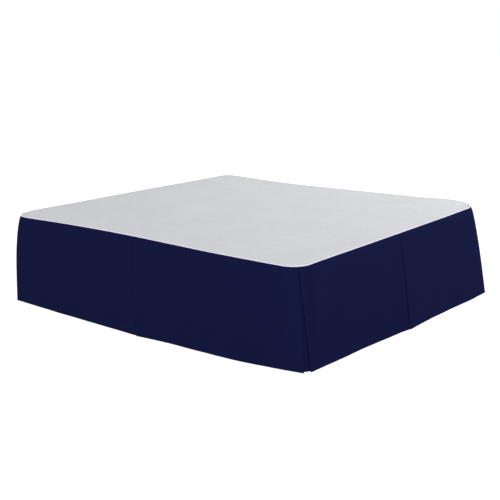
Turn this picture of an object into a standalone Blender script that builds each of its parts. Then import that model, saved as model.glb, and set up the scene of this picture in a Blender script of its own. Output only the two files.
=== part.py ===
"""Bed skirt on a king-size box spring.

A pale deck cloth lies on the box spring. Three navy drops hang from its edge to the floor: one on each
long side and one across the foot end. Each drop has an inverted pleat at its middle, and both foot
corners are split, with an insert behind the split. The head end is open.

Metres, +Z up. The head end is at -X and the foot end at +X. The near long side faces -Y.
"""

import bmesh
import bpy
from math import cos, exp, hypot, pi, radians, sin

# ------------------------------------------------------------------ sizes, in metres
DECK_LENGTH = 2.032  # 80 in, along X
DECK_WIDTH = 1.930  # 76 in, along Y
DROP = 0.508  # 20 in, from the deck's top to the floor
CLOTH = 0.002  # thickness of each sheet
TOUCH = 0.0003  # between pieces that touch

BOX_DEPTH = 0.230  # height of the box spring
BOX_INSET = 0.016  # from the deck's edge in to the box spring's side
BOX_EDGE = 0.012  # radius of its upper and lower edges
BOX_EDGE_ANGLES = (0, 45, 90)  # steps round that radius, in degrees

PLEAT_DEPTH = 0.090  # how far each pleat runs back behind the drop
PLEAT_PITCH_TOP = 0.0040  # from layer to layer, at the seam
PLEAT_PITCH_HEM = 0.0080  # and at the hem, where the pleat opens
PLEAT_MOUTH = 0.003  # between the two front folds
PROUD_REACH = 0.035  # length over which a prouder fold settles back

SPLIT = 0.0015  # from a corner's middle to the edge of each drop, at the seam

LEG_RADIUS_TOP = 0.030
LEG_RADIUS_FOOT = 0.022
LEG_SIDES = 20
LEG_ROWS = (("near", -0.780), ("far", 0.780))  # name, Y
LEG_STATIONS = (("head", -0.860), ("middle", 0.000), ("foot", 0.860))  # name, X

# The deck's four sides, in order round it: heading in degrees, length, distance from the centre, and
# the corner radius where each side ends. A side's "along" runs from -length / 2 to length / 2, and
# both ends are the middles of its rounded corners.
SIDES = {
    "near": (0, DECK_LENGTH, DECK_WIDTH / 2, 0.090),
    "foot": (90, DECK_WIDTH, DECK_LENGTH / 2, 0.170),
    "far": (180, DECK_LENGTH, DECK_WIDTH / 2, 0.040),
    "head": (270, DECK_WIDTH, DECK_LENGTH / 2, 0.090),
}
BEFORE = {"near": "head", "foot": "near", "far": "foot", "head": "far"}

# How far the deck's edge stands out of its nominal rectangle: along, out.
DECK_EDGE = {
    "near": (
        (-1.016, -0.008), (-0.900, 0.000), (-0.700, -0.006), (-0.420, -0.010), (-0.100, -0.009),
        (0.220, -0.003), (0.500, 0.004), (0.900, 0.006), (1.016, 0.004),
    ),
    "foot": (
        (-0.965, 0.004), (-0.800, 0.000), (-0.340, -0.005), (0.080, -0.012), (0.570, -0.024),
        (0.850, -0.031), (0.965, -0.026),
    ),
    "far": (
        (-1.016, -0.026), (-0.930, -0.006), (-0.780, 0.007), (-0.630, 0.005), (-0.365, -0.002),
        (0.080, -0.007), (0.400, -0.010), (0.740, -0.008), (1.016, -0.008),
    ),
    "head": (
        (-0.965, -0.008), (-0.900, -0.005), (-0.560, 0.005), (-0.170, 0.009), (0.180, 0.013),
        (0.500, 0.014), (0.800, 0.014), (0.965, -0.008),
    ),
}

# The drops: along at the seam, along at the hem, how far the hem stands out of the deck's nominal
# side, and the belly, which is how far the cloth rounds out between the two.
DROP_ROWS = {
    "near": (
        (-0.985, -1.008, 0.013, 0.0165),
        (-0.750, -0.760, 0.024, 0.010),
        (-0.500, -0.490, 0.032, 0.007),
        (-0.250, -0.215, 0.040, 0.006),
        (-0.044, 0.018, 0.046, 0.006),
        (0.220, 0.255, 0.032, 0.006),
        (0.480, 0.505, 0.026, 0.006),
        (0.640, 0.660, 0.019, 0.008),
        (0.820, 0.840, -0.007, 0.014),
        (1.016, 1.023, -0.041, 0.015),
    ),
    "foot": (
        (-0.965, -0.894, 0.024, 0.012),
        (-0.740, -0.700, 0.031, 0.008),
        (-0.480, -0.470, 0.039, 0.004),
        (-0.230, -0.230, 0.053, 0.004),
        (-0.060, -0.046, 0.070, 0.004),
        (0.220, 0.200, 0.067, 0.004),
        (0.480, 0.450, 0.073, 0.005),
        (0.740, 0.700, 0.078, 0.008),
        (0.965, 0.863, 0.076, 0.0115),
    ),
    "far": (
        (-1.016, -1.000, -0.014, 0.014),
        (-0.760, -0.770, 0.044, 0.006),
        (-0.500, -0.510, 0.040, 0.006),
        (-0.250, -0.255, 0.036, 0.006),
        (0.010, 0.010, 0.034, 0.006),
        (0.260, 0.265, 0.026, 0.006),
        (0.520, 0.530, 0.018, 0.006),
        (0.780, 0.790, 0.016, 0.008),
        (0.990, 1.002, 0.013, 0.014),
    ),
}
# Each drop's pleat: the place of its middle along the seam, and how much prouder than the first half
# the second half's fold stands at the hem.
PLEATS = {"near": (-0.044, 0.006), "foot": (-0.060, 0.005), "far": (0.010, 0.008)}

# The corner inserts: the side before the corner and the side after it, and how much further behind each
# side's drop the insert hangs at the hem, at the corner's middle and at the insert's edge.
INSERTS = {
    "near_corner_insert": (("near", 0.0035, 0.0020), ("foot", 0.0060, 0.0050)),
    "far_corner_insert": (("foot", 0.0140, 0.0040), ("far", 0.0020, 0.0010)),
}
INSERT_REACH = 0.160  # along the deck's edge, each way from the corner's middle
INSERT_TURN = 0.008  # from the corner's middle to where the insert turns the corner
INSERT_BEHIND = 0.0042  # from a drop's middle surface to the insert's

LEVELS = (0.0, 0.04, 0.12, 0.26, 0.44, 0.64, 0.82, 1.0)  # share of the way from the seam to the hem
SHOULDER = 0.005  # how far the cloth stands out just under the seam
SHOULDER_SHARE = 0.02  # share of the way down over which it comes out
FOLD_STEPS = 3  # steps round each fold
LAYER_STEPS = 2  # steps along each inner layer
SIDE_STEPS = 18  # steps along each straight side of the deck
CORNER_STEPS = 4  # steps round each half of a corner
SMOOTH_ANGLE = 35  # degrees; edges that turn more than this are sharp
BOX_SMOOTH_ANGLE = 60

HANG_TOP = DROP - CLOTH - TOUCH  # the drops' upper edge, under the deck's rim

# Colour, roughness
NAVY_CLOTH = ((0.0085, 0.0103, 0.046, 1.0), 0.85)
PALE_CLOTH = ((0.62, 0.63, 0.66, 1.0), 0.90)
TICKING = ((0.70, 0.69, 0.66, 1.0), 0.90)
LEG_WOOD = ((0.24, 0.14, 0.07, 1.0), 0.50)


# ------------------------------------------------------------------ curves
def smooth(rows, place, column):
    """One column of a table at a place given by its first column, on a smooth curve through the rows."""
    last = len(rows) - 1
    i = 0
    while i < last - 1 and place > rows[i + 1][0]:
        i += 1
    x0, x1 = rows[i][0], rows[i + 1][0]
    y0, y1 = rows[i][column], rows[i + 1][column]
    before, after = rows[max(i - 1, 0)], rows[min(i + 2, last)]
    slope0 = (y1 - before[column]) / (x1 - before[0])
    slope1 = (after[column] - y0) / (after[0] - x0)
    t = (place - x0) / (x1 - x0)
    if t < 0.0:
        return y0 + slope0 * (place - x0)
    if t > 1.0:
        return y1 + slope1 * (place - x1)
    bend0 = slope0 * (x1 - x0)
    bend1 = slope1 * (x1 - x0)
    return (
        y0 * (1 + 2 * t) * (1 - t) ** 2 + y1 * (3 - 2 * t) * t * t
        + bend0 * t * (1 - t) ** 2 - bend1 * (1 - t) * t * t
    )


def to_plan(side, along, out):
    """Plan point of a place given along a side and outwards from the centre."""
    turn = radians(SIDES[side][0])
    return (along * cos(turn) + out * sin(turn), along * sin(turn) - out * cos(turn))


def deck_edge(side, along):
    """Point of the deck's edge and the direction outwards there."""
    _, length, reach, end_radius = SIDES[side]
    start_radius = SIDES[BEFORE[side]][3]
    sign = 1.0 if along > 0 else -1.0
    radius = end_radius if along > 0 else start_radius
    straight = length / 2 - radius
    lean = 0.0
    if abs(along) > straight:
        lean = min((abs(along) - straight) / radius, 1.0) * pi / 4
    base_along = along if lean == 0.0 else sign * (straight + radius * sin(lean))
    base_out = reach if lean == 0.0 else reach - radius + radius * cos(lean)
    out = smooth(DECK_EDGE[side], along, 1)
    normal = to_plan(side, sign * sin(lean), cos(lean))
    x, y = to_plan(side, base_along, base_out)
    return (x + normal[0] * out, y + normal[1] * out), normal


def side_places(side, first, last):
    """Places along a side for the points of its curves, between two ends that are themselves among them."""
    _, length, _, end_radius = SIDES[side]
    start = -length / 2 + SIDES[BEFORE[side]][3]
    end = length / 2 - end_radius
    stretches = (
        (-length / 2, start, CORNER_STEPS),
        (start, end, SIDE_STEPS),
        (end, length / 2, CORNER_STEPS),
    )
    places = [low + (high - low) * i / steps for low, high, steps in stretches for i in range(steps)]
    shortest = (end - start) / SIDE_STEPS / 10
    return [first] + [place for place in places if first + shortest < place < last - shortest] + [last]


def deck_outline(inset):
    """Closed outline, anticlockwise, at a distance inside the deck's edge."""
    points = []
    for side, (_, length, _, _) in SIDES.items():
        for along in side_places(side, -length / 2, length / 2)[:-1]:
            (x, y), (nx, ny) = deck_edge(side, along)
            points.append((x - nx * inset, y - ny * inset))
    return points


def belly_share(level):
    """Share of the belly at a level: none at the seam and the hem, most a third of the way down."""
    return sin(pi * level ** 0.65)


def shoulder(level):
    """How far out the cloth stands at a level because it turns over the edge of what it falls over."""
    return SHOULDER * (1.0 - exp(-level / SHOULDER_SHARE)) * (1.0 - level)


# ------------------------------------------------------------------ meshes
def finish_object(name, bm, look, smooth_angle=SMOOTH_ANGLE):
    """Turns a bmesh into a named object with its own material."""
    bmesh.ops.recalc_face_normals(bm, faces=bm.faces[:])
    mesh = bpy.data.meshes.new(name)
    bm.to_mesh(mesh)
    bm.free()
    mesh.shade_smooth()
    mesh.set_sharp_from_angle(angle=radians(smooth_angle))
    obj = bpy.data.objects.new(name, mesh)
    bpy.context.scene.collection.objects.link(obj)
    colour, roughness = look
    material = bpy.data.materials.new(name)
    material.use_nodes = True
    shader = material.node_tree.nodes["Principled BSDF"]
    shader.inputs["Base Color"].default_value = colour
    shader.inputs["Roughness"].default_value = roughness
    shader.inputs["Metallic"].default_value = 0.0
    material.diffuse_color = colour
    mesh.materials.append(material)
    return obj


def stacked_outline(rows):
    """Closed solid through outlines of equal length: rows of (outline, height), from the bottom up."""
    bm = bmesh.new()
    rings = [[bm.verts.new((x, y, z)) for x, y in outline] for outline, z in rows]
    count = len(rings[0])
    for lower, upper in zip(rings, rings[1:]):
        for i in range(count):
            j = (i + 1) % count
            bm.faces.new((lower[i], lower[j], upper[j], upper[i]))
    bm.faces.new(rings[0])
    bm.faces.new(rings[-1])
    return bm


def hung_sheet(lines):
    """Closed sheet of the cloth's thickness on a grid: lines of plan points, one line for each level."""
    bm = bmesh.new()
    rows = []
    for level, line in zip(LEVELS, lines):
        z = HANG_TOP * (1.0 - level)
        outer, inner = [], []
        for i, (x, y) in enumerate(line):
            x0, y0 = line[max(i - 1, 0)]
            x1, y1 = line[min(i + 1, len(line) - 1)]
            run = hypot(x1 - x0, y1 - y0)
            nx, ny = (y1 - y0) / run * CLOTH / 2, -(x1 - x0) / run * CLOTH / 2
            outer.append(bm.verts.new((x + nx, y + ny, z)))
            inner.append(bm.verts.new((x - nx, y - ny, z)))
        rows.append((outer, inner))
    columns = len(lines[0])
    for (outer0, inner0), (outer1, inner1) in zip(rows, rows[1:]):
        for i in range(columns - 1):
            bm.faces.new((outer0[i], outer0[i + 1], outer1[i + 1], outer1[i]))
            bm.faces.new((inner0[i], inner0[i + 1], inner1[i + 1], inner1[i]))
        for i in (0, columns - 1):
            bm.faces.new((outer0[i], inner0[i], inner1[i], outer1[i]))
    for outer, inner in (rows[0], rows[-1]):
        for i in range(columns - 1):
            bm.faces.new((outer[i], outer[i + 1], inner[i + 1], inner[i]))
    return bm


# ------------------------------------------------------------------ the skirt
def drop_front(side, along, level, behind):
    """Plan point of a drop's middle surface, some way behind its front."""
    rows = DROP_ROWS[side]
    (x, y), (nx, ny) = deck_edge(side, along)
    hem_along = smooth(rows, along, 1)
    hem_out = SIDES[side][2] + smooth(rows, along, 2)
    hem_x, hem_y = to_plan(side, hem_along, hem_out)
    shift = smooth(rows, along, 3) * belly_share(level) + shoulder(level) - behind - CLOTH / 2
    return (x + (hem_x - x) * level + nx * shift, y + (hem_y - y) * level + ny * shift)


def pleated_path(side, level):
    """A drop's path at one level: (along, behind) from its first edge, through the pleat, to its last."""
    middle, proud = PLEATS[side]
    pitch = PLEAT_PITCH_TOP + (PLEAT_PITCH_HEM - PLEAT_PITCH_TOP) * level
    bend = pitch / 2
    fold = PLEAT_MOUTH / 2 + CLOTH / 2 + bend
    rows = DROP_ROWS[side]
    first, last = rows[0][0], rows[-1][0]
    if side in ("foot", "far"):
        first += SPLIT
    if side in ("near", "foot"):
        last -= SPLIT

    def run(start, end, behind, steps):
        return [(start + (end - start) * i / steps, behind) for i in range(steps + 1)]

    def turn(at, start, end, towards):
        steps = [pi * i / FOLD_STEPS for i in range(1, FOLD_STEPS)]
        return [(at + towards * bend * sin(a), start + (end - start) * (1 - cos(a)) / 2) for a in steps]

    path = [(along, 0.0) for along in side_places(side, first, middle - fold)]
    path += turn(middle - fold, 0.0, pitch, 1)
    path += run(middle - fold, middle - PLEAT_DEPTH, pitch, LAYER_STEPS)
    path += turn(middle - PLEAT_DEPTH, pitch, 2 * pitch, -1)
    path += run(middle - PLEAT_DEPTH, middle + PLEAT_DEPTH, 2 * pitch, 2 * LAYER_STEPS)
    path += turn(middle + PLEAT_DEPTH, 2 * pitch, pitch, 1)
    path += run(middle + PLEAT_DEPTH, middle + fold, pitch, LAYER_STEPS)
    path += turn(middle + fold, pitch, -proud * level, -1)
    for along in side_places(side, middle + fold, last):
        path.append((along, -proud * level * exp(-(along - middle - fold) / PROUD_REACH)))
    return path


def make_drop(name, side):
    """The navy sheet that hangs from one side of the deck, with its inverted pleat."""
    lines = []
    for level in LEVELS:
        path = pleated_path(side, level)
        lines.append([drop_front(side, along, level, behind) for along, behind in path])
    return finish_object(name, hung_sheet(lines), NAVY_CLOTH)


def make_insert(name):
    """The navy strip that hangs behind a split corner."""
    (side0, tuck0, edge_tuck0), (side1, tuck1, edge_tuck1) = INSERTS[name]
    end0, end1 = SIDES[side0][1] / 2, -SIDES[side1][1] / 2
    stations = []
    for along in side_places(side0, end0 - INSERT_REACH, end0 - INSERT_TURN):
        stations.append((side0, along, tuck0 + (edge_tuck0 - tuck0) * (end0 - along) / INSERT_REACH))
    for along in side_places(side1, end1 + INSERT_TURN, end1 + INSERT_REACH):
        stations.append((side1, along, tuck1 + (edge_tuck1 - tuck1) * (along - end1) / INSERT_REACH))
    lines = []
    for level in LEVELS:
        lines.append([drop_front(s, a, level, INSERT_BEHIND + tuck * level) for s, a, tuck in stations])
    return finish_object(name, hung_sheet(lines), NAVY_CLOTH)


def make_deck():
    outline = deck_outline(0.0)
    return finish_object("deck", stacked_outline([(outline, DROP - CLOTH), (outline, DROP)]), PALE_CLOTH)


# ------------------------------------------------------------------ the box spring and its legs
def make_box_spring():
    bottom_half, top_half = [], []
    for angle in BOX_EDGE_ANGLES:
        outline = deck_outline(BOX_INSET + BOX_EDGE * (1 - sin(radians(angle))))
        step = BOX_EDGE * (1 - cos(radians(angle)))
        bottom_half.append((outline, HANG_TOP - BOX_DEPTH + step))
        top_half.append((outline, HANG_TOP - step))
    rows = bottom_half + top_half[::-1]
    return finish_object("box_spring", stacked_outline(rows), TICKING, BOX_SMOOTH_ANGLE)


def make_legs():
    height = HANG_TOP - BOX_DEPTH - TOUCH
    legs = []
    for row, y in LEG_ROWS:
        for station, x in LEG_STATIONS:
            bm = bmesh.new()
            bmesh.ops.create_cone(
                bm,
                cap_ends=True,
                segments=LEG_SIDES,
                radius1=LEG_RADIUS_FOOT,
                radius2=LEG_RADIUS_TOP,
                depth=height,
            )
            leg = finish_object("leg_" + row + "_" + station, bm, LEG_WOOD)
            leg.location = (x, y, height / 2)
            legs.append(leg)
    return legs


# ------------------------------------------------------------------ assembly
def stand_on_centre(pieces):
    """Parents the pieces to an empty, placed so that the whole stands centred over the origin."""
    bpy.context.view_layer.update()
    corners = [piece.matrix_world @ vertex.co for piece in pieces for vertex in piece.data.vertices]
    middle_x = (min(c.x for c in corners) + max(c.x for c in corners)) / 2
    middle_y = (min(c.y for c in corners) + max(c.y for c in corners)) / 2
    centre = bpy.data.objects.new("bed_skirt", None)
    bpy.context.scene.collection.objects.link(centre)
    for piece in pieces:
        piece.parent = centre
    centre.location = (-middle_x, -middle_y, 0.0)


def main():
    for obj in list(bpy.data.objects):
        bpy.data.objects.remove(obj, do_unlink=True)
    pieces = [make_deck()]
    pieces.append(make_drop("near_side_drop", "near"))
    pieces.append(make_drop("foot_end_drop", "foot"))
    pieces.append(make_drop("far_side_drop", "far"))
    for name in INSERTS:
        pieces.append(make_insert(name))
    pieces.append(make_box_spring())
    pieces += make_legs()
    stand_on_centre(pieces)


main()
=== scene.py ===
"""Bed skirt on a box spring: navy drops, pale deck cloth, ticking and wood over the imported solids,
and the stage.

Laid out as a Blender add-on and run as a script. Metres, +Z up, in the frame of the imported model:
the head end is at -X, the foot end at +X, and the near long side faces -Y.
"""

from functools import partial
from math import ceil, cos, exp, pi, radians, sin

import bmesh
import bpy
import numpy as np
from bpy.props import FloatProperty, FloatVectorProperty, IntProperty, PointerProperty
from bpy.types import Operator, Panel, PropertyGroup
from mathutils import Matrix, Vector


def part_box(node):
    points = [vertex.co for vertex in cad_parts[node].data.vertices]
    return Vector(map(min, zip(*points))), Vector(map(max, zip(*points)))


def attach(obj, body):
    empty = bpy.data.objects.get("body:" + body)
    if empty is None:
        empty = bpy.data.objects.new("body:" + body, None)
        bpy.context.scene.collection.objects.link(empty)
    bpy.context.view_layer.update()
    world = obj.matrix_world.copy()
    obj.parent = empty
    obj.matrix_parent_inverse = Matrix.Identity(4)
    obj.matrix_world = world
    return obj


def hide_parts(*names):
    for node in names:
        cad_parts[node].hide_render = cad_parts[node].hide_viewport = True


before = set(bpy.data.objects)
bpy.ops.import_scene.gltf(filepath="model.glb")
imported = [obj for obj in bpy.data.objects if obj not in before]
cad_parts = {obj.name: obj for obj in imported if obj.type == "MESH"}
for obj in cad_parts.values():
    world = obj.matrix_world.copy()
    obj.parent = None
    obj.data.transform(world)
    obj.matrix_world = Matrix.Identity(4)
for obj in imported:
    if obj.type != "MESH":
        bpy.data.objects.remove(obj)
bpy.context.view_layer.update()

bl_info = {
    "name": "Bed Skirt",
    "version": (1, 0, 0),
    "blender": (4, 5, 0),
    "location": "View3D > Sidebar > Bed Skirt",
    "description": "Builds a tailored bed skirt on its box spring from cloth, ticking and wood",
    "category": "Object",
}

# ---- the skirt's pattern, in metres
DECK_LENGTH = 2.032
DECK_WIDTH = 1.930
DROP = 0.508
CLOTH = 0.002
TOUCH = 0.0003  # between pieces that touch
HANG_TOP = DROP - CLOTH - TOUCH  # the drops' upper edge, under the deck's rim
DECK_UNDER = DROP - CLOTH

LIP = 0.0020  # how far a drop's face rises beside the deck's rim
FACE_DEPTH = 0.0005  # how far behind the front a point still belongs to the face
SHORT = 0.0007  # how much shorter the cloth behind the face is, under the deck
PLEAT_DEPTH = 0.090  # how far a pleat runs behind the drop, to either side of its mouth
PLEAT_PITCH_TOP = 0.0040  # from layer to layer of a pleat, at the seam
PLEAT_PITCH_HEM = 0.0080  # and at the hem, where the pleat opens
PLEAT_MOUTH = 0.0022  # between a pleat's two front folds
PROUD_REACH = 0.035  # length over which the prouder front fold settles back
SPLIT = 0.0015  # from a foot corner's middle to the edge of each drop
EDGE_POINTS = (0.0004, 0.0012)  # from a drop's free edge to the points that round it
EDGE_SHARES = (0.4, 0.8)  # shares of the thickness at that edge and at its next point
SHOULDER = 0.005  # how far the cloth stands out just under the seam
SHOULDER_SHARE = 0.02  # how soon it does, as a share of the drop
SHOULDER_FADE = 0.10  # length over which the shoulder dies away at the head end
BELLY_POWER = 0.65  # puts the belly's widest place above the middle of the drop
FOLD_POWER = 1.8  # how a soft fold grows from seam to hem
END_CALM = 0.06  # length over which folds and waves die away at a side's ends
ROW_POWER = 1.6  # crowds the rows of points towards the seam
HEM_MARGIN = 0.004  # from the hem's stitches up to the last of these rows

# The deck's four sides: heading in degrees, length, distance from the centre, and the corner
# radius where each side ends. A side's "along" runs from -length / 2 to length / 2, from one
# corner's middle to the next one's.
SIDES = {
    "near": (0, DECK_LENGTH, DECK_WIDTH / 2, 0.090),
    "foot": (90, DECK_WIDTH, DECK_LENGTH / 2, 0.170),
    "far": (180, DECK_LENGTH, DECK_WIDTH / 2, 0.040),
    "head": (270, DECK_WIDTH, DECK_LENGTH / 2, 0.090),
}
BEFORE = {"near": "head", "foot": "near", "far": "foot", "head": "far"}

# The deck's edge: along, how far it stands out of its nominal rectangle, and how far above its
# level, where the cloth and the box spring's edge rise and sag.
DECK_EDGE = {
    "near": (
        (-1.016, -0.008, 0.0000), (-0.900, 0.000, -0.0015), (-0.700, -0.006, 0.0010),
        (-0.420, -0.010, 0.0040), (-0.100, -0.009, 0.0045), (0.220, -0.003, 0.0015),
        (0.500, 0.004, -0.0010), (0.900, 0.006, -0.0010), (1.016, 0.004, 0.0000),
    ),
    "foot": (
        (-0.965, 0.004, 0.0000), (-0.800, 0.000, 0.0015), (-0.340, -0.005, 0.0025),
        (0.080, -0.012, 0.0030), (0.570, -0.024, 0.0025), (0.850, -0.031, 0.0035),
        (0.965, -0.026, 0.0015),
    ),
    "far": (
        (-1.016, -0.026, 0.0015), (-0.930, -0.006, 0.0030), (-0.780, 0.007, 0.0085),
        (-0.630, 0.005, 0.0030), (-0.365, -0.002, 0.0000), (0.080, -0.007, -0.0065),
        (0.400, -0.010, -0.0095), (0.740, -0.008, -0.0050), (1.016, -0.008, 0.0020),
    ),
    "head": (
        (-0.965, -0.008, 0.0020), (-0.900, -0.005, 0.0030), (-0.560, 0.005, 0.0015),
        (-0.170, 0.009, 0.0030), (0.180, 0.013, 0.0025), (0.500, 0.014, 0.0020),
        (0.800, 0.014, 0.0030), (0.965, -0.008, 0.0000),
    ),
}
RISE_REACH = 0.30  # how far in the deck evens out again, as a share of the way to its middle

# The drops: along at the seam, along at the hem, how far the hem stands out of the deck's nominal
# side, and the belly, which is how far the cloth rounds out between the two.
DROP_ROWS = {
    "near": (
        (-0.985, -1.008, 0.013, 0.0165), (-0.750, -0.760, 0.024, 0.010),
        (-0.500, -0.490, 0.032, 0.007), (-0.250, -0.215, 0.040, 0.006),
        (-0.044, 0.018, 0.046, 0.006), (0.220, 0.255, 0.032, 0.006),
        (0.480, 0.505, 0.026, 0.006), (0.640, 0.660, 0.019, 0.008),
        (0.820, 0.840, -0.007, 0.014), (1.016, 1.023, -0.041, 0.015),
    ),
    "foot": (
        (-0.965, -0.894, 0.024, 0.012), (-0.740, -0.700, 0.031, 0.008),
        (-0.480, -0.470, 0.039, 0.004), (-0.230, -0.230, 0.053, 0.004),
        (-0.060, -0.046, 0.070, 0.004), (0.220, 0.200, 0.067, 0.004),
        (0.480, 0.450, 0.073, 0.005), (0.740, 0.700, 0.078, 0.008),
        (0.965, 0.863, 0.076, 0.0115),
    ),
    "far": (
        (-1.016, -1.000, -0.014, 0.014), (-0.760, -0.770, 0.044, 0.006),
        (-0.500, -0.510, 0.040, 0.006), (-0.250, -0.255, 0.036, 0.006),
        (0.010, 0.010, 0.034, 0.006), (0.260, 0.265, 0.026, 0.006),
        (0.520, 0.530, 0.018, 0.006), (0.780, 0.790, 0.016, 0.008),
        (0.990, 1.002, 0.013, 0.014),
    ),
}
# Each drop's pleat: the place of its middle along the seam, and how much prouder the second half's
# fold stands at the hem.
PLEATS = {"near": (-0.044, 0.006), "foot": (-0.060, 0.005), "far": (0.010, 0.008)}

# The corner inserts: the side before the corner and the side after it, each with how much further
# behind its drop the insert hangs at the hem, at the corner's middle and at the insert's edge.
INSERTS = {
    "near_corner_insert": (("near", 0.0012, 0.0010), ("foot", 0.0015, 0.0020)),
    "far_corner_insert": (("foot", 0.0140, 0.0040), ("far", 0.0020, 0.0010)),
}
INSERT_REACH = 0.160  # from the corner's middle to the insert's edge
INSERT_TURN = 0.008  # from the corner's middle to the first point on either side
INSERT_BEHIND = 0.0042  # from the drops' front to the insert's, at the seam
INSERT_LIFT = 0.003  # from the floor up to the inserts' hems

# Soft folds that run down a drop: place along at the hem, how far it leans from seam to hem, half
# width and depth.
SOFT_FOLDS = {
    "near": (
        (-0.600, 0.060, 0.070, 0.0012), (-0.470, 0.030, 0.120, 0.0012),
        (0.260, 0.070, 0.120, -0.0015), (0.330, 0.020, 0.110, 0.0014),
        (0.620, -0.030, 0.120, -0.0012), (0.860, -0.040, 0.070, 0.0010),
    ),
    "foot": (
        (-0.700, 0.040, 0.090, 0.0012), (-0.420, 0.030, 0.110, -0.0012),
        (-0.120, 0.020, 0.060, -0.0035), (0.150, -0.020, 0.090, 0.0010),
        (0.450, -0.030, 0.120, -0.0014), (0.700, -0.030, 0.080, 0.0010),
    ),
    "far": (
        (-0.720, 0.050, 0.090, -0.0026), (-0.380, 0.030, 0.120, 0.0018),
        (-0.100, 0.020, 0.070, -0.0022), (0.230, -0.020, 0.110, 0.0020),
        (0.560, -0.030, 0.100, -0.0020), (0.830, -0.030, 0.080, 0.0014),
    ),
}
# Small waves of the cloth: crests per metre along, phase, height at the hem.
SMALL_WAVES = ((3.1, 0.4, 0.0005), (5.3, 1.9, 0.00035), (8.7, 4.1, 0.0002))

LEG_PLACES = {
    f"leg_{row}_{station}": (x, y)
    for row, y in (("near", -0.780), ("far", 0.780))
    for station, x in (("head", -0.860), ("middle", 0.000), ("foot", 0.860))
}

# The deck's edge, from its underside round the rolled seam to its top: how far in from the rim,
# height, how high the seam's bead stands there, and how much of the painted highlight along the
# seam shows.
DECK_PROFILE = (
    (0.0080, DECK_UNDER, 0.0, 0.0),
    (0.0008, DECK_UNDER, 0.0, 0.0),
    (0.0002, DECK_UNDER + 0.0004, 0.0, 0.5),
    (0.0000, DECK_UNDER + 0.0011, 0.0004, 1.0),
    (0.0001, DECK_UNDER + 0.0016, 0.0014, 1.0),
    (0.0004, DECK_UNDER + 0.0018, 0.0023, 1.0),
    (0.0010, DROP, 0.0030, 1.0),
    (0.0019, DROP, 0.0034, 0.9),
    (0.0028, DROP, 0.0033, 0.5),
    (0.0037, DROP, 0.0027, 0.2),
    (0.0044, DROP, 0.0017, 0.0),
    (0.0050, DROP, 0.0007, 0.0),
    (0.0058, DROP, 0.0, 0.0),
    (0.0140, DROP, 0.0, 0.0),
)
HEAD_FADE = 0.030  # length over which the bead dies away at the open head end
# The deck's soft waves: radians per metre in X and in Y, phase, share of the height.
DECK_WAVES = (
    (5.1, 2.3, 0.6, 0.6), (-1.9, 3.3, 2.0, 0.5), (11.0, -4.0, 0.0, 0.3), (5.0, 14.0, 1.0, 0.2),
)
WAVES_RAISED = 1.5  # keeps the waves above the deck's level
WAVES_HEIGHT = 3.0  # height of all the waves together, in shares
CALM_RIM = 0.06  # share of the way to the middle over which the waves set in

BOX_ANGLES = (0, 22, 45, 68, 90)  # steps round the box spring's edges, in degrees
BOX_UNDERSIDE = 0.020  # width of the underside's outer ring
BOX_SIDE_STEPS = 8  # steps up its side, from welt to welt
BOX_RINGS = 24  # rings of its upper and lower faces
WELT_GAP = 0.004  # from the rounded edge to the welt's middle

# The soft lights: place, what each one points at, side, the setting that gives its power, and the
# share that it takes of it.
LIGHTS = {
    "key_light": ((1.7, 3.6, 4.9), (-0.6, -0.3, 0.5), 2.4, "key_power", 1.0),
    "fill_light": ((6.3, -6.95, 2.9), (0.3, -0.4, 0.2), 2.6, "fill_power", 0.56),
    "left_light": ((-2.2, -9.1, 2.9), (0.0, -0.6, 0.2), 2.6, "fill_power", 0.37),
    "right_light": ((9.3, 0.6, 2.9), (0.6, 0.0, 0.2), 2.6, "fill_power", 0.26),
}
FLOOR_GAP = 0.0004  # from the floor up to the hems
CAMERA_PLACE = (3.3705, -4.2629, 1.5511)
CAMERA_AZIMUTH = 38.600  # degrees from the near side's front towards the foot end
CAMERA_ELEVATION = 13.300
CAMERA_ROLL = -0.203
SENSOR = 36.0  # width in millimetres
CLIP = (0.05, 200.0)  # nearest and furthest that the camera sees


def pattern_shift():
    """From the pattern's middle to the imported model's frame, read from a leg whose place is known
    in both."""
    low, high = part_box("leg_near_middle")
    x, y = LEG_PLACES["leg_near_middle"]
    return ((low.x + high.x) / 2 - x, (low.y + high.y) / 2 - y)


SHIFT_X, SHIFT_Y = pattern_shift()


# ---- settings
def amount(name, description, default, unit="LENGTH"):
    """A length that a user may change, or a number with another unit."""
    return FloatProperty(name=name, description=description, default=default, unit=unit)


def colour_of(name, description, default):
    """A colour that a user may change."""
    return FloatVectorProperty(
        name=name, description=description, default=default, subtype="COLOR", size=3, min=0, max=1
    )


class SkirtClothSettings(PropertyGroup):
    """The navy cloth of the drops and the corner inserts."""

    colour: colour_of("Navy", "Colour of the close-woven navy cloth", (0.0058, 0.0082, 0.0424))
    station: amount("Station", "Distance between the points along a drop", 0.012)
    rows: IntProperty(
        name="Rows", description="Rows of points from the seam to the hem", default=40, min=8
    )
    fold_steps: IntProperty(
        name="Fold steps", description="Steps round each fold of a pleat", default=12, min=3
    )
    hem: amount("Hem", "Height of the turned-up hem", 0.030)
    hem_fold: amount("Hem fold", "How much the hem adds to the back of the cloth", 0.0007)
    stitch_dent: amount("Stitch dent", "How deep the hem's stitches pull into the front", 0.0005)
    thread: amount("Thread", "Distance between threads of the weave", 0.0010)


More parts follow.
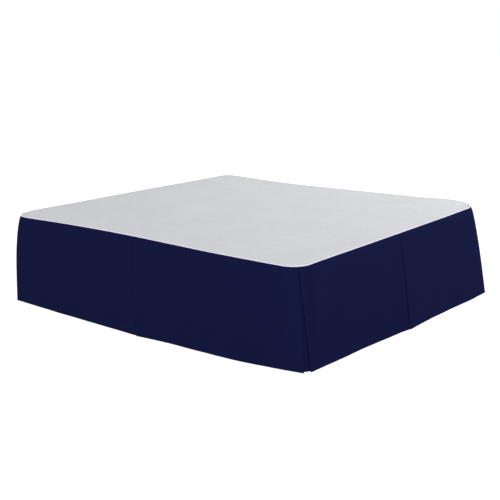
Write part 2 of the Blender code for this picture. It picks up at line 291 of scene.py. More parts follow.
class DeckClothSettings(PropertyGroup):
    """The pale platform cloth that lies on the box spring."""

    colour: colour_of("Pale grey", "Colour of the platform cloth", (0.590, 0.595, 0.620))
    # The lighter colour is a painted highlight along the deck's rolled seam, where its edge catches
    # light. It is also the thread colour of the stitches beside the seam.
    seam_colour: colour_of("Seam", "Colour of the rolled seam on its edge", (0.800, 0.790, 0.915))
    station: amount("Station", "Distance between the points along the edge", 0.012)
    rings: IntProperty(
        name="Rings", description="Rings of points from the edge to the middle", default=40, min=6
    )
    rim: amount("Rim", "From the skirt's face in to the deck's rolled seam", 0.0024)
    wave: amount("Wave", "How far the cloth's soft waves rise", 0.0012)
    thread: amount("Thread", "Distance between threads of the weave", 0.0010)


class BoxSpringSettings(PropertyGroup):
    """The upholstered box spring."""

    colour: colour_of("Off-white", "Colour of the ticking", (0.62, 0.60, 0.56))
    depth: amount("Depth", "Height of the box spring", 0.230)
    inset: amount("Inset", "From the deck's edge in to its side", 0.016)
    edge: amount("Edge", "Radius of its edges", 0.012)
    welt: amount("Welt", "Radius of the welted edges", 0.003)
    swell: amount("Swell", "How far its sides swell", 0.003)
    station: amount("Station", "Distance between the points along the side", 0.016)


class LegSettings(PropertyGroup):
    """The tapered wooden legs."""

    colour: colour_of("Brown wood", "Colour between the darker rings", (0.26, 0.145, 0.07))
    radius_top: amount("Top radius", "Under the box spring", 0.030)
    radius_foot: amount("Foot radius", "On the floor", 0.022)
    sides: IntProperty(name="Sides", description="Sides of the turned leg", default=64, min=12)
    bevel: amount("Bevel", "Rounding of both ends", 0.0025)


class StageSettings(PropertyGroup):
    """Floor, light and camera."""

    floor_size: amount("Floor", "Side of the floor", 80.0)
    floor_glow: amount("Floor glow", "Brightness that the floor shows of its own", 0.96, "NONE")
    floor_cast: amount("Floor cast", "Light that the floor casts on the skirt", 0.40, "NONE")
    floor_colour: colour_of("Floor colour", "Colour of the floor", (0.25, 0.25, 0.25))
    surround: amount("Surround", "Brightness of the white surround", 1.0, "NONE")
    sky: amount("Sky", "Light that the surround casts on the skirt", 0.59, "NONE")
    key_power: amount("Key light", "Power of the light at the back", 180.0, "POWER")
    fill_power: amount("Fill lights", "Power shared out to the lights in front", 518.0, "POWER")
    lens: amount("Lens", "Focal length of the camera", 67.37, "CAMERA")


class BedSkirtSettings(PropertyGroup):
    """All of the skirt's settings."""

    skirt: PointerProperty(type=SkirtClothSettings)
    deck: PointerProperty(type=DeckClothSettings)
    box_spring: PointerProperty(type=BoxSpringSettings)
    legs: PointerProperty(type=LegSettings)
    stage: PointerProperty(type=StageSettings)


# ---- the pattern's curves
def smooth(rows, place, column):
    """One column of a table at a place in its first column, on a smooth curve through the rows."""
    last = len(rows) - 1
    i = 0
    while i < last - 1 and place > rows[i + 1][0]:
        i += 1
    x0, x1 = rows[i][0], rows[i + 1][0]
    y0, y1 = rows[i][column], rows[i + 1][column]
    before, after = rows[max(i - 1, 0)], rows[min(i + 2, last)]
    slope0 = (y1 - before[column]) / (x1 - before[0])
    slope1 = (after[column] - y0) / (after[0] - x0)
    t = (place - x0) / (x1 - x0)
    if t < 0.0:
        return y0 + slope0 * (place - x0)
    if t > 1.0:
        return y1 + slope1 * (place - x1)
    bend0 = slope0 * (x1 - x0)
    bend1 = slope1 * (x1 - x0)
    return (
        y0 * (1 + 2 * t) * (1 - t) ** 2 + y1 * (3 - 2 * t) * t * t
        + bend0 * t * (1 - t) ** 2 - bend1 * (1 - t) * t * t
    )


def to_plan(side, along, out):
    """Plan point of a place given along a side and outwards from the centre."""
    turn = radians(SIDES[side][0])
    return (along * cos(turn) + out * sin(turn), along * sin(turn) - out * cos(turn))


def deck_edge(side, along):
    """Point of the deck's edge and the direction outwards there."""
    _, length, reach, end_radius = SIDES[side]
    start_radius = SIDES[BEFORE[side]][3]
    sign = 1.0 if along > 0 else -1.0
    radius = end_radius if along > 0 else start_radius
    straight = length / 2 - radius
    lean = 0.0
    if abs(along) > straight:
        lean = min((abs(along) - straight) / radius, 1.0) * pi / 4
    base_along = along if lean == 0.0 else sign * (straight + radius * sin(lean))
    base_out = reach if lean == 0.0 else reach - radius + radius * cos(lean)
    out = smooth(DECK_EDGE[side], along, 1)
    normal = to_plan(side, sign * sin(lean), cos(lean))
    x, y = to_plan(side, base_along, base_out)
    return (x + normal[0] * out, y + normal[1] * out), normal


def spread(first, last, count):
    """Places from first to last, evenly spaced, both ends in."""
    return [first + (last - first) * i / count for i in range(count + 1)]


def places(first, last, step):
    """Places from first to last, no further apart than the step."""
    return spread(first, last, max(1, ceil(abs(last - first) / step)))


def deck_outline(step):
    """Closed outline of the deck, anticlockwise: points, their directions outwards, and how far
    the edge rises."""
    points = []
    for side, (_, length, _, _) in SIDES.items():
        for along in places(-length / 2, length / 2, step)[:-1]:
            points.append((*deck_edge(side, along), smooth(DECK_EDGE[side], along, 2)))
    return points


def soft_fold(side, along, level):
    """How far the cloth's soft folds and small waves stand out, growing towards the hem."""
    length = SIDES[side][1]
    calm = 1.0 - exp(-((length / 2 - abs(along)) / END_CALM) ** 2)
    out = 0.0
    for place, lean, width, depth in SOFT_FOLDS[side]:
        middle = place + lean * (level - 1.0)
        out += depth * level ** FOLD_POWER * exp(-((along - middle) / width) ** 2)
    for crests, phase, height in SMALL_WAVES:
        out += height * level * sin(2 * pi * crests * along + phase + level)
    return out * calm


def shoulder_share(side, along):
    """The shoulder dies away at the head end, where the long drops end in a free edge."""
    if side == "foot":
        return 1.0
    to_end = along - DROP_ROWS["near"][0][0] if side == "near" else DROP_ROWS["far"][-1][0] - along
    return 1.0 - exp(-((to_end / SHOULDER_FADE) ** 2)) if to_end > 0.0 else 0.0


def drop_front(side, along, level, behind):
    """Point of a drop's middle surface, some way behind its front."""
    rows = DROP_ROWS[side]
    (x, y), (nx, ny) = deck_edge(side, along)
    hem_along = smooth(rows, along, 1)
    hem_out = SIDES[side][2] + smooth(rows, along, 2)
    hem_x, hem_y = to_plan(side, hem_along, hem_out)
    belly = smooth(rows, along, 3) * sin(pi * level ** BELLY_POWER)
    shoulder = SHOULDER * (1.0 - exp(-level / SHOULDER_SHARE)) * (1.0 - level)
    shoulder *= shoulder_share(side, along)
    out = belly + shoulder + soft_fold(side, along, level) - behind - CLOTH / 2
    return (
        x + (hem_x - x) * level + nx * out + SHIFT_X,
        y + (hem_y - y) * level + ny * out + SHIFT_Y,
        (HANG_TOP + smooth(DECK_EDGE[side], along, 2)) * (1.0 - level),
    )


def upper_edge(line, behinds):
    """A line at the seam, raised at the drop's face beside the deck's rim, and shortened behind."""
    edge = []
    for (x, y, z), behind in zip(line, behinds):
        face = max(0.0, 1.0 - max(behind, 0.0) / FACE_DEPTH)
        edge.append((x, y, z + LIP * face - SHORT * (1.0 - face)))
    return edge


def pleated_path(side, cloth, level):
    """A drop's stations at one level, from its first edge through the pleat to its last: side,
    along and behind."""
    middle, proud = PLEATS[side]
    pitch = PLEAT_PITCH_TOP + (PLEAT_PITCH_HEM - PLEAT_PITCH_TOP) * level
    bend = pitch / 2
    fold = PLEAT_MOUTH / 2 + CLOTH / 2 + bend
    rows = DROP_ROWS[side]
    first, last = rows[0][0], rows[-1][0]
    if side in ("foot", "far"):
        first += SPLIT
    if side in ("near", "foot"):
        last -= SPLIT
    step = cloth.station
    before, after = ceil((middle - first) / step), ceil((last - middle) / step)
    under = ceil(PLEAT_DEPTH / step)
    outer, inner = EDGE_POINTS

    def layer(start, end, behind, count):
        return [(along, behind) for along in spread(start, end, count)]

    def turn(at, start, end, towards):
        angles = [pi * i / cloth.fold_steps for i in range(1, cloth.fold_steps)]
        half = (end - start) / 2
        return [(at + towards * bend * sin(a), start + half * (1 - cos(a))) for a in angles]

    path = [(first, 0.0), (first + outer, 0.0)] + layer(first + inner, middle - fold, 0.0, before)
    path += turn(middle - fold, 0.0, pitch, 1)
    path += layer(middle - fold, middle - PLEAT_DEPTH, pitch, under)
    path += turn(middle - PLEAT_DEPTH, pitch, 2 * pitch, -1)
    path += layer(middle - PLEAT_DEPTH, middle + PLEAT_DEPTH, 2 * pitch, 2 * under)
    path += turn(middle + PLEAT_DEPTH, 2 * pitch, pitch, 1)
    path += layer(middle + PLEAT_DEPTH, middle + fold, pitch, under)
    path += turn(middle + fold, pitch, -proud * level, -1)
    for along in spread(middle + fold, last - inner, after) + [last - outer, last]:
        path.append((along, -proud * level * exp(-(along - middle - fold) / PROUD_REACH)))
    return [(side, along, behind) for along, behind in path]


def insert_path(corner, cloth, level):
    """An insert's stations at one level, round its corner: side, along and behind."""
    before, after = corner
    stations = []
    for (side, tuck, edge_tuck), end, start, stop in (
        (before, SIDES[before[0]][1] / 2, -INSERT_REACH, -INSERT_TURN),
        (after, -SIDES[after[0]][1] / 2, INSERT_TURN, INSERT_REACH),
    ):
        for along in places(end + start, end + stop, cloth.station / 2):
            tucked = tuck + (edge_tuck - tuck) * abs(along - end) / INSERT_REACH
            stations.append((side, along, INSERT_BEHIND + tucked * level))
    return stations


# ---- meshes
POLE_STEP = 0.05  # across the flat cut, from the innermost ring to the middle


def piece_from_mesh(mesh, material, slot_name, *nodes):
    """Links a mesh as a piece of its name, which rides on the part and stands for its nodes."""
    piece = bpy.data.objects.new(mesh.name, mesh)
    bpy.context.scene.collection.objects.link(piece)
    mesh.materials.append(material)
    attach(piece, "root")
    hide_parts(*nodes)
    return piece


def mesh_of(name, points, faces, flat_cut):
    """Smooth mesh, its UV map the flat cut: one place for each corner of each face."""
    mesh = bpy.data.meshes.new(name)
    mesh.from_pydata(points, [], faces)
    mesh.update()
    layer = mesh.uv_layers.new(name="flat_cut")
    layer.data.foreach_set("uv", np.array(flat_cut, np.float32).ravel())
    mesh.shade_smooth()
    return mesh


def run_of(steps):
    """How far each point lies from the first, from the steps between them."""
    return np.concatenate([[0.0], np.cumsum(steps)])


def cloth_rows(cloth):
    """The cloth's rows from seam to hem: level, thickness in front of the middle surface, and
    behind it."""
    half = CLOTH / 2
    hem, dent, back = cloth.hem, cloth.stitch_dent, half + cloth.hem_fold
    lowest = 1.0 - (hem + HEM_MARGIN) / HANG_TOP
    rows = [(0.0, half * 0.5, half * 0.5), (0.0006, half, half)]
    rows += [(lowest * (i / cloth.rows) ** ROW_POWER, half, half) for i in range(1, cloth.rows + 1)]
    hem_rows = (
        (hem + 0.0012, half, half),
        (hem, half - dent, half),
        (hem - 0.0008, half - dent * 0.3, back),
        (hem - 0.0020, half, back),
        (hem * 0.66, half, back),
        (hem * 0.33, half, back),
        (0.0030, half, back),
        (0.0014, half * 0.95, back),
        (0.0005, half * 0.75, back * 0.8),
        (0.0, half * 0.40, half * 0.40),
    )
    return rows + [(1.0 - height / HANG_TOP, front, behind) for height, front, behind in hem_rows]


def closed_sheet(name, rows, lines):
    """Closed cloth mesh about lines of middle points, one line for each row, with its flat cut as
    the UV map. Gives the mesh and its run at mid height."""
    grid = np.array(lines)
    count, columns, _ = grid.shape
    out = np.cross(np.gradient(grid, axis=0), np.gradient(grid, axis=1))
    out /= np.linalg.norm(out, axis=2)[:, :, None]
    edge = np.ones(columns)
    edge[[0, -1]], edge[[1, -2]] = EDGE_SHARES
    front, back = (out * np.outer([row[k] for row in rows], edge)[:, :, None] for k in (1, 2))
    points = np.concatenate([(grid + front).reshape(-1, 3), (grid - back).reshape(-1, 3)])
    behind = count * columns

    def at(i, j):
        return i * columns + j

    faces = []
    right, bottom = columns - 1, count - 1
    for i in range(bottom):
        for j in range(right):
            quad = (at(i, j), at(i + 1, j), at(i + 1, j + 1), at(i, j + 1))
            faces.append(quad)
            faces.append(tuple(v + behind for v in reversed(quad)))
        a, b = at(i, 0), at(i + 1, 0)
        faces.append((a, a + behind, b + behind, b))
        a, b = at(i, right), at(i + 1, right)
        faces.append((a, b, b + behind, a + behind))
    for j in range(right):
        faces.append((j, j + 1, j + 1 + behind, j + behind))
        a, b = at(bottom, j), at(bottom, j + 1)
        faces.append((a, a + behind, b + behind, b))
    run = run_of(np.linalg.norm(np.diff(grid[count // 2], axis=0), axis=1))
    fall = [HANG_TOP * (1.0 - row[0]) for row in rows]
    flat_cut = np.concatenate([np.stack(np.meshgrid(run, fall), -1).reshape(-1, 2)] * 2)
    corners = [v for face in faces for v in face]
    return mesh_of(name, points.tolist(), faces, flat_cut[corners]), float(run[-1])


def edge_flat_cut(rows, seam_row):
    """UV map of an edge profile's mesh: along its edge, and across it from the seam's row."""
    grid = np.array(rows)
    seam = grid[seam_row]
    run = run_of(np.linalg.norm(np.roll(seam, -1, axis=0) - seam, axis=1))
    depth = run_of(np.linalg.norm(np.diff(grid, axis=0), axis=2).mean(axis=1))
    depth -= depth[seam_row]
    flat_cut = []
    for low, high in zip(depth, depth[1:]):
        for a, b in zip(run, run[1:]):
            flat_cut += [(a, low), (b, low), (b, high), (a, high)]
    for a, b in zip(run, run[1:]):
        flat_cut += [(b, depth[0]), (a, depth[0]), (a, depth[0] - POLE_STEP)]
        flat_cut += [(a, depth[-1]), (b, depth[-1]), (a, depth[-1] + POLE_STEP)]
    return flat_cut


def edge_profile_mesh(name, outline, profile, rings, follow, height_at, bead=None):
    """Closed solid on an outline: a profile of (inset, height, bead height) from the underside
    round to the top, then rings of both faces that close in on the middle. The edge's rise is
    followed by a share that depends on the height, and the bead has its own share of height at
    each point."""
    count = len(outline)
    bead = bead or [1.0] * count
    edge = []
    for inset, z, swell in profile:
        edge.append([
            (x - nx * inset, y - ny * inset, z + swell * share + rise * follow(z))
            for ((x, y), (nx, ny), rise), share in zip(outline, bead)
        ])
    middle_x = sum(x for x, _, _ in edge[-1]) / count
    middle_y = sum(y for _, y, _ in edge[-1]) / count

    def face_rings(row, flat):
        """Rings from one row of the edge in towards the middle, where the face is flat again."""
        made = []
        for k in range(1, rings):
            way = k / rings
            evened = exp(-((way / RISE_REACH) ** 2))
            ring = []
            for x, y, z in row:
                px = middle_x + (x - middle_x) * (1.0 - way)
                py = middle_y + (y - middle_y) * (1.0 - way)
                ring.append((px, py, flat + (z - flat) * evened + height_at(px, py, way)))
            made.append(ring)
        return made

    under, over = profile[0][1], profile[-1][1]
    rows = face_rings(edge[0], under)[::-1] + edge + face_rings(edge[-1], over)
    points = [(x + SHIFT_X, y + SHIFT_Y, z) for row in rows for x, y, z in row]
    pole = len(points)
    for z in (under, over):
        z += height_at(middle_x, middle_y, 1.0)
        points.append((middle_x + SHIFT_X, middle_y + SHIFT_Y, z))
    faces = []
    for low in range(0, (len(rows) - 1) * count, count):
        for j in range(count):
            k = (j + 1) % count
            faces.append((low + j, low + k, low + count + k, low + count + j))
    last = (len(rows) - 1) * count
    for j in range(count):
        k = (j + 1) % count
        faces.append((k, j, pole))
        faces.append((last + j, last + k, pole + 1))
    seam_row = rings - 1 + len(profile) - 1
    return mesh_of(name, points, faces, edge_flat_cut(rows, seam_row))


# ---- materials
STITCH_HALF = 0.0005  # half the width of a row of stitches


class NodeMaker:
    """Adds nodes to one tree of nodes, with short calls."""

    def __init__(self, tree):
        self.tree = tree

    def node(self, kind, **values):
        """A new node. A value goes to its setting, or else to its socket, with _ for a space."""
        made = self.tree.nodes.new(kind)
        for key, value in values.items():
            if hasattr(made, key):
                setattr(made, key, value)
            else:
                made.inputs[key.replace("_", " ")].default_value = value
        return made

    def link(self, source, target):
        self.tree.links.new(source, target)

    def feed(self, value, socket):
        """Links what another node gives, or sets a plain number or colour."""
        if hasattr(value, "is_linked"):
            self.link(value, socket)
        else:
            socket.default_value = value if isinstance(value, (int, float)) else (*value, 1.0)

    def math(self, operation, first, second=0.0):
        made = self.node("ShaderNodeMath", operation=operation)
        self.feed(first, made.inputs[0])
        self.feed(second, made.inputs[1])
        return made.outputs[0]

    def ranged(self, fac, low, high):
        """A number that runs from low to high with fac."""
        made = self.node("ShaderNodeMapRange", To_Min=low, To_Max=high)
        self.link(fac, made.inputs["Value"])
        return made.outputs["Result"]

    def shine(self, socket, seen, cast):
        """One strength where the eye meets the white stage, another for the light it casts."""
        path = self.node("ShaderNodeLightPath")
        self.link(self.ranged(path.outputs["Is Camera Ray"], cast, seen), socket)


class MaterialMaker(NodeMaker):
    """Makes one material, layer by layer."""

    def __init__(self, name, roughness, specular):
        self.material = bpy.data.materials.new(name)
        self.material.use_nodes = True
        super().__init__(self.material.node_tree)
        self.shader = self.tree.nodes["Principled BSDF"]
        self.shader.inputs["Roughness"].default_value = roughness
        self.shader.inputs["Specular IOR Level"].default_value = specular

    def flat_cut(self):
        """Places on the cloth's flat cut."""
        return self.node("ShaderNodeUVMap", uv_map="flat_cut").outputs["UV"]

    def space(self):
        """Places in the object's own space."""
        return self.node("ShaderNodeTexCoord").outputs["Object"]

    def through(self, places, output, kind, **values):
        """What a new node gives for the places."""
        made = self.node(kind, **values)
        self.link(places, made.inputs["Vector"])
        return made.outputs[output]

    def stretched(self, places, scale):
        return self.through(places, "Vector", "ShaderNodeMapping", Scale=scale)

    def threads(self, places, axis, pitch):
        """Bands across one axis, one for each thread."""
        bands = {"wave_type": "BANDS", "bands_direction": axis, "Scale": pi / 10 / pitch}
        return self.through(places, "Fac", "ShaderNodeTexWave", **bands)

    def weave(self, places, pitch):
        """Threads both ways."""
        return self.math("MULTIPLY", *(self.threads(places, axis, pitch) for axis in "XY"))

    def clouds(self, places, scale, detail, roughness=0.5):
        """Soft uneven patches."""
        noise = {"Scale": scale, "Detail": detail, "Roughness": roughness}
        return self.through(places, "Fac", "ShaderNodeTexNoise", **noise)

    def streaks(self, places, along, across):
        """Uneven streaks, so many to the metre each way."""
        return self.clouds(self.stretched(places, (along, across, 1.0)), 1.0, 2.0)

    def tint(self, colour, *layers):
        """The colour times one brightness for each layer of (fac, darkest, lightest)."""
        for fac, low, high in layers:
            mix = self.node("ShaderNodeMix", data_type="RGBA", blend_type="MULTIPLY")
            mix.inputs[0].default_value = 1.0
            self.feed(colour, mix.inputs[6])
            self.link(self.ranged(fac, low, high), mix.inputs[7])
            colour = mix.outputs[2]
        return colour

    def blend(self, fac, first, second):
        """The first colour, and the second where fac is 1."""
        mix = self.node("ShaderNodeMix", data_type="RGBA")
        self.link(fac, mix.inputs[0])
        self.feed(first, mix.inputs[6])
        self.feed(second, mix.inputs[7])
        return mix.outputs[2]

    def stitches(self, flat, line, pitch, length):
        """A row of stitches along the flat cut, at a line across it. Their length is a share."""
        split = self.node("ShaderNodeSeparateXYZ")
        self.link(flat, split.inputs["Vector"])
        off_line = self.math("ABSOLUTE", self.math("SUBTRACT", split.outputs["Y"], line))
        on_line = self.math("LESS_THAN", off_line, STITCH_HALF)
        along = self.math("FRACT", self.math("MULTIPLY", split.outputs["X"], 1.0 / pitch))
        return self.math("MULTIPLY", on_line, self.math("LESS_THAN", along, length))

    def bumps(self, *layers):
        """Normal of the layers of (height, distance, strength), one over the other."""
        normal = None
        for height, distance, strength in layers:
            made = self.node("ShaderNodeBump", Strength=strength, Distance=distance)
            self.link(height, made.inputs["Height"])
            if normal is not None:
                self.link(normal, made.inputs["Normal"])
            normal = made.outputs["Normal"]
        return normal

    def finish(self, colour, normal):
        """The material, once its colour and its normal reach the shader."""
        self.link(colour, self.shader.inputs["Base Color"])
        self.link(normal, self.shader.inputs["Normal"])
        return self.material


def navy_cloth(cloth):
    """Matt close-woven navy cloth, with the hem's stitches."""
    maker = MaterialMaker("navy_cloth", roughness=0.9, specular=0.02)
    flat, space = maker.flat_cut(), maker.space()
    weave = maker.weave(flat, cloth.thread)
    patches = maker.clouds(maker.stretched(space, (1.0, 1.0, 0.5)), scale=7.0, detail=3.0)
    creases = maker.stretched(space, (1.0, 1.0, 0.45))
    creases = maker.clouds(creases, scale=9.0, detail=3.0, roughness=0.45)
    stitch = maker.stitches(flat, line=cloth.hem, pitch=0.0045, length=0.68)
    colour = maker.tint(
        cloth.colour,
        (patches, 0.90, 1.10),
        (maker.streaks(flat, along=40.0, across=900.0), 0.88, 1.12),
        (maker.streaks(flat, along=700.0, across=14.0), 0.92, 1.08),
        (weave, 0.84, 1.36),
    )
    colour = maker.blend(stitch, colour, [1.5 * part for part in cloth.colour])
    normal = maker.bumps((creases, 0.0016, 0.25), (weave, 0.0003, 0.35), (stitch, 0.0006, 0.6))
    return maker.finish(colour, normal)


def pale_cloth(deck):
    """Matt pale platform cloth with a painted highlight along its rolled seam, and a row of stitches
    beside it.
    """
    maker = MaterialMaker("pale_cloth", roughness=0.95, specular=0.10)
    flat, space = maker.flat_cut(), maker.space()
    # rim: share of the painted highlight along the rolled seam, read from the mesh
    rim = maker.node("ShaderNodeAttribute", attribute_name="seam_highlight").outputs["Fac"]
    weave = maker.weave(space, deck.thread)
    creases = maker.clouds(space, scale=30.0, detail=3.0)
    stitch = maker.stitches(flat, line=-0.0045, pitch=0.0040, length=0.70)
    # Painted highlight: the pale cloth turns to the lighter colour along the rolled seam, where its
    # edge catches light.
    colour = maker.tint(
        maker.blend(rim, deck.colour, deck.seam_colour),
        (maker.clouds(space, scale=5.0, detail=3.0, roughness=0.6), 0.955, 1.045),
        (maker.clouds(space, scale=24.0, detail=4.0, roughness=0.7), 0.915, 1.085),
        (maker.streaks(space, along=60.0, across=500.0), 0.97, 1.03),
        (weave, 0.96, 1.05),
    )
    # The stitches' thread takes the same lighter colour as its own colour.
    colour = maker.blend(stitch, colour, deck.seam_colour)
    normal = maker.bumps((creases, 0.0010, 0.20), (weave, 0.0003, 0.30), (stitch, 0.0006, 0.6))
    return maker.finish(colour, normal)


def off_white_ticking(box_spring):
    """Plain off-white ticking with a fine rib."""
    maker = MaterialMaker("off_white_ticking", roughness=0.9, specular=0.2)
    flat, space = maker.flat_cut(), maker.space()
    ribs = maker.threads(flat, "X", pitch=0.0026)
    threads = maker.threads(flat, "Y", pitch=0.0011)
    creases = maker.clouds(space, scale=12.0, detail=3.0)
    colour = maker.tint(
        box_spring.colour,
        (maker.clouds(space, scale=6.0, detail=4.0, roughness=0.55), 0.94, 1.06),
        (maker.streaks(flat, along=40.0, across=700.0), 0.94, 1.06),
        (ribs, 0.93, 1.04),
        (threads, 0.96, 1.02),
    )
    normal = maker.bumps((creases, 0.0030, 0.30), (ribs, 0.0005, 0.40), (threads, 0.0003, 0.30))
    return maker.finish(colour, normal)


def brown_wood(legs):
    """Satin brown wood with its grain along the leg."""
    maker = MaterialMaker("brown_wood", roughness=0.5, specular=0.35)
    space = maker.space()
    rings = maker.through(
        maker.stretched(space, (1.0, 1.0, 0.08)), "Fac", "ShaderNodeTexWave", wave_type="RINGS",
        rings_direction="Z", Scale=22.0, Distortion=7.0, Detail=3.0, Detail_Scale=3.0,
    )
    pores = maker.clouds(maker.stretched(space, (1.0, 1.0, 0.03)), scale=900.0, detail=2.0)
    maker.link(maker.ranged(pores, 0.38, 0.55), maker.shader.inputs["Roughness"])
    colour = maker.tint(legs.colour, (rings, 0.62, 1.12), (pores, 0.80, 1.12))
    return maker.finish(colour, maker.bumps((pores, 0.0002, 0.3)))


# ---- operators
def one_material(make, settings):
    """The material that a function makes, made the first time that a piece asks for it."""
    return bpy.data.materials.get(make.__name__) or make(settings)


def hang_cloth(context, node, path_at, lift=0.0):
    """Hangs one navy cloth in its node's place, from its stations at each level, its hem lifted
    off the floor."""
    cloth = context.scene.bed_skirt.skirt
    rows = cloth_rows(cloth)
    lines = []
    for row, (level, _, _) in enumerate(rows):
        path = path_at(level)
        points = [drop_front(side, along, level, behind) for side, along, behind in path]
        line = [(x, y, z + lift * level) for x, y, z in points]
        if row < 2:
            line = upper_edge(line, [behind for _, _, behind in path])
        lines.append(line)
    mesh, length = closed_sheet(node + "_cloth", rows, lines)
    material = one_material(navy_cloth, cloth)
    piece = piece_from_mesh(mesh, material, "skirt_cloth", node)


class BEDSKIRT_OT_drops(Operator):
    """Hang the three navy drops, each with its inverted pleat and hem"""

    bl_idname = "bed_skirt.drops"
    bl_label = "Side and Foot Drops"

    def execute(self, context):
        cloth = context.scene.bed_skirt.skirt
        nodes = {"near": "near_side_drop", "foot": "foot_end_drop", "far": "far_side_drop"}
        for side, node in nodes.items():
            hang_cloth(context, node, partial(pleated_path, side, cloth))
        return {"FINISHED"}


class BEDSKIRT_OT_corner_inserts(Operator):
    """Hang the navy inserts behind the two split foot corners"""

    bl_idname = "bed_skirt.corner_inserts"
    bl_label = "Corner Inserts"

    def execute(self, context):
        cloth = context.scene.bed_skirt.skirt
        for node, corner in INSERTS.items():
            hang_cloth(context, node, partial(insert_path, corner, cloth), lift=INSERT_LIFT)
        return {"FINISHED"}


class BEDSKIRT_OT_deck(Operator):
    """Lay the pale deck cloth, with the rolled seam along its edge"""

    bl_idname = "bed_skirt.deck"
    bl_label = "Deck Cloth"

    def execute(self, context):
        deck = context.scene.bed_skirt.deck
        outline = deck_outline(deck.station)
        count = len(outline)
        profile = [(deck.rim + inset, z, bead) for inset, z, bead, _ in DECK_PROFILE]
        head_seam = -DECK_LENGTH / 2 + HEAD_FADE
        bead = [min(1.0, max(0.0, (x - head_seam) / HEAD_FADE)) for (x, _), _, _ in outline]

        def height_at(x, y, way):
            wave = WAVES_RAISED
            for along, across, phase, height in DECK_WAVES:
                wave += height * sin(along * x + across * y + phase)
            return deck.wave * wave / WAVES_HEIGHT * (1.0 - exp(-((way / CALM_RIM) ** 2)))

        mesh = edge_profile_mesh(
            "deck_cloth", outline, profile, deck.rings, lambda z: 1.0, height_at, bead
        )
        # The rolled seam's painted highlight: its share on each row of the edge, faded with the bead
        # at the open head end.
        seam = np.zeros(len(mesh.vertices), np.float32)
        for i, (_, _, _, strength) in enumerate(DECK_PROFILE, deck.rings - 1):
            seam[i * count : (i + 1) * count] = strength * np.array(bead)
        mesh.attributes.new("seam_highlight", "FLOAT", "POINT").data.foreach_set("value", seam)
        material = one_material(pale_cloth, deck)
        piece = piece_from_mesh(mesh, material, "deck_cloth", "deck")
        return {"FINISHED"}


class BEDSKIRT_OT_box_spring(Operator):
    """Cover the box spring in ticking, with welted edges"""

    bl_idname = "bed_skirt.box_spring"
    bl_label = "Box Spring"

    def execute(self, context):
        box = context.scene.bed_skirt.box_spring
        bottom, top = HANG_TOP - box.depth, HANG_TOP
        welt_bottom, welt_top = bottom + box.edge + WELT_GAP, top - box.edge - WELT_GAP

        def rounded(angle):
            """Inset, and height from the nearer face, on a rounded edge."""
            turn = radians(angle)
            return box.inset + box.edge * (1 - sin(turn)), box.edge * (1 - cos(turn))

        def welt(middle):
            turns = [radians(angle) for angle in range(-90, 91, 30)]
            return [(box.inset - box.welt * cos(t), middle + box.welt * sin(t)) for t in turns]

        side = [(box.inset + box.edge + BOX_UNDERSIDE, bottom)]
        side += [(inset, bottom + height) for inset, height in map(rounded, BOX_ANGLES)]
        side += welt(welt_bottom)
        for k in range(1, BOX_SIDE_STEPS):
            share = k / BOX_SIDE_STEPS
            z = welt_bottom + box.welt + (welt_top - welt_bottom - 2 * box.welt) * share
            side.append((box.inset - box.swell * sin(pi * share), z))
        side += welt(welt_top)
        side += [(inset, top - height) for inset, height in map(rounded, reversed(BOX_ANGLES))]
        profile = [(inset, z, 0.0) for inset, z in side]
        outline = [(*place, min(rise, 0.0)) for *place, rise in deck_outline(box.station)]

        def follow(z):
            return min(1.0, max(0.0, (z - bottom) / (welt_top - bottom)))

        mesh = edge_profile_mesh(
            "box_spring_ticking", outline, profile, BOX_RINGS, follow, lambda x, y, way: 0.0
        )
        material = one_material(off_white_ticking, box)
        piece = piece_from_mesh(mesh, material, "box_spring_cover", "box_spring")
        return {"FINISHED"}


class BEDSKIRT_OT_legs(Operator):
    """Turn one tapered leg and stand a copy of it at each place"""

    bl_idname = "bed_skirt.legs"
    bl_label = "Legs"

    def execute(self, context):
        legs = context.scene.bed_skirt.legs
        low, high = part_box("leg_near_head")
        height = high.z - low.z
        bpy.ops.object.select_all(action="DESELECT")
        bpy.ops.mesh.primitive_cone_add(
            vertices=legs.sides, radius1=legs.radius_foot, radius2=legs.radius_top, depth=height,
            end_fill_type="NGON", location=(0.0, 0.0, height / 2),
        )
        first = context.active_object
        bpy.ops.object.transform_apply(location=True, rotation=True, scale=True)
        bpy.ops.object.mode_set(mode="EDIT")
        bpy.ops.mesh.select_all(action="DESELECT")
        bpy.ops.mesh.select_mode(type="EDGE")
        shape = bmesh.from_edit_mesh(first.data)
        for edge in shape.edges:
            ends = [v.co.z for v in edge.verts]
            edge.select_set(abs(ends[0] - ends[1]) < height / 2)
        bmesh.update_edit_mesh(first.data)
        bpy.ops.mesh.bevel(offset=legs.bevel, segments=3, profile=0.5)
        bpy.ops.object.mode_set(mode="OBJECT")
        bpy.ops.object.shade_smooth_by_angle(angle=radians(35))
        material = one_material(brown_wood, legs)
        for node in LEG_PLACES:
            low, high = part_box(node)
            mesh = first.data.copy()
            mesh.name = node + "_wood"
            mesh.transform(Matrix.Translation(((low.x + high.x) / 2, (low.y + high.y) / 2, low.z)))
            piece_from_mesh(mesh, material, "leg_wood", node)
        bpy.data.objects.remove(first, do_unlink=True)
        return {"FINISHED"}


def view_back(azimuth, elevation):
    """Direction from what is looked at to the eye, from angles in degrees."""
    a, e = radians(azimuth), radians(elevation)
    return Vector((sin(a) * cos(e), -cos(a) * cos(e), sin(e)))


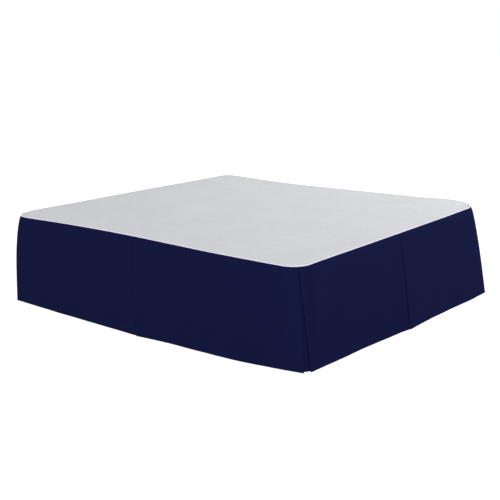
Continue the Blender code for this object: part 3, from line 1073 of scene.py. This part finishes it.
class BEDSKIRT_OT_stage(Operator):
    """Set the white floor and surround, the four soft lights and the camera"""

    bl_idname = "bed_skirt.stage"
    bl_label = "Stage"

    def execute(self, context):
        stage = context.scene.bed_skirt.stage
        scene = context.scene
        white = (1.0, 1.0, 1.0, 1.0)
        bpy.ops.object.select_all(action="DESELECT")
        bpy.ops.mesh.primitive_plane_add(size=stage.floor_size, location=(0.0, 0.0, -FLOOR_GAP))
        floor = context.active_object
        floor.name = "studio_floor"
        maker = MaterialMaker("studio_floor", roughness=1.0, specular=0.0)
        shader = maker.shader.inputs
        shader["Base Color"].default_value = (*stage.floor_colour, 1.0)
        shader["Emission Color"].default_value = white
        maker.shine(shader["Emission Strength"], stage.floor_glow, stage.floor_cast)
        floor.data.materials.append(maker.material)

        world = bpy.data.worlds.new("white_surround")
        scene.world = world
        world.use_nodes = True
        background = world.node_tree.nodes["Background"].inputs
        background["Color"].default_value = white
        NodeMaker(world.node_tree).shine(background["Strength"], stage.surround, stage.sky)

        for name, (place, target, size, power, share) in LIGHTS.items():
            bpy.ops.object.select_all(action="DESELECT")
            bpy.ops.object.light_add(type="AREA", location=place)
            light = context.active_object
            light.name = name
            light.data.shape = "SQUARE"
            light.data.size = size
            light.data.energy = share * getattr(stage, power)
            aim = Vector(target) - Vector(place)
            light.rotation_euler = aim.to_track_quat("-Z", "Y").to_euler()

        place = Vector(CAMERA_PLACE) + Vector((SHIFT_X, SHIFT_Y, 0.0))
        bpy.ops.object.camera_add(location=place)
        camera = context.active_object
        camera.name = "photo_camera"
        aim = -view_back(CAMERA_AZIMUTH, CAMERA_ELEVATION)
        turn = aim.to_track_quat("-Z", "Y").to_matrix().to_4x4()
        roll = Matrix.Rotation(radians(CAMERA_ROLL), 4, "Z")
        camera.rotation_euler = (turn @ roll).to_euler()
        camera.data.lens = stage.lens
        camera.data.sensor_width = SENSOR
        camera.data.clip_start, camera.data.clip_end = CLIP
        scene.camera = camera
        scene.view_settings.view_transform = "Standard"
        scene.view_settings.look = "None"
        scene.view_settings.exposure = 0.0
        scene.view_settings.gamma = 1.0
        return {"FINISHED"}


class BEDSKIRT_PT_panel(Panel):
    """The skirt's pieces and settings"""

    bl_label = "Bed Skirt"
    bl_idname = "BEDSKIRT_PT_panel"
    bl_space_type = "VIEW_3D"
    bl_region_type = "UI"
    bl_category = "Bed Skirt"

    def draw(self, context):
        settings = context.scene.bed_skirt
        operators = {"skirt": ("drops", "corner_inserts")}
        for name in ("skirt", "deck", "box_spring", "legs", "stage"):
            box = self.layout.box()
            group = getattr(settings, name)
            for operator in operators.get(name, (name,)):
                box.operator("bed_skirt." + operator)
            for key in group.bl_rna.properties.keys():
                if key not in ("rna_type", "name"):
                    box.prop(group, key)


CLASSES = (
    SkirtClothSettings, DeckClothSettings, BoxSpringSettings, LegSettings, StageSettings,
    BedSkirtSettings, BEDSKIRT_OT_drops, BEDSKIRT_OT_corner_inserts, BEDSKIRT_OT_deck,
    BEDSKIRT_OT_box_spring, BEDSKIRT_OT_legs, BEDSKIRT_OT_stage, BEDSKIRT_PT_panel,
)


def register():
    for cls in CLASSES:
        bpy.utils.register_class(cls)
    bpy.types.Scene.bed_skirt = PointerProperty(type=BedSkirtSettings)


def unregister():
    del bpy.types.Scene.bed_skirt
    for cls in reversed(CLASSES):
        bpy.utils.unregister_class(cls)


def main():
    """Builds the pieces and the stage."""
    register()
    bpy.ops.bed_skirt.box_spring()
    bpy.ops.bed_skirt.legs()
    bpy.ops.bed_skirt.deck()
    bpy.ops.bed_skirt.drops()
    bpy.ops.bed_skirt.corner_inserts()
    bpy.ops.bed_skirt.stage()


if __name__ == "__main__":
    main()
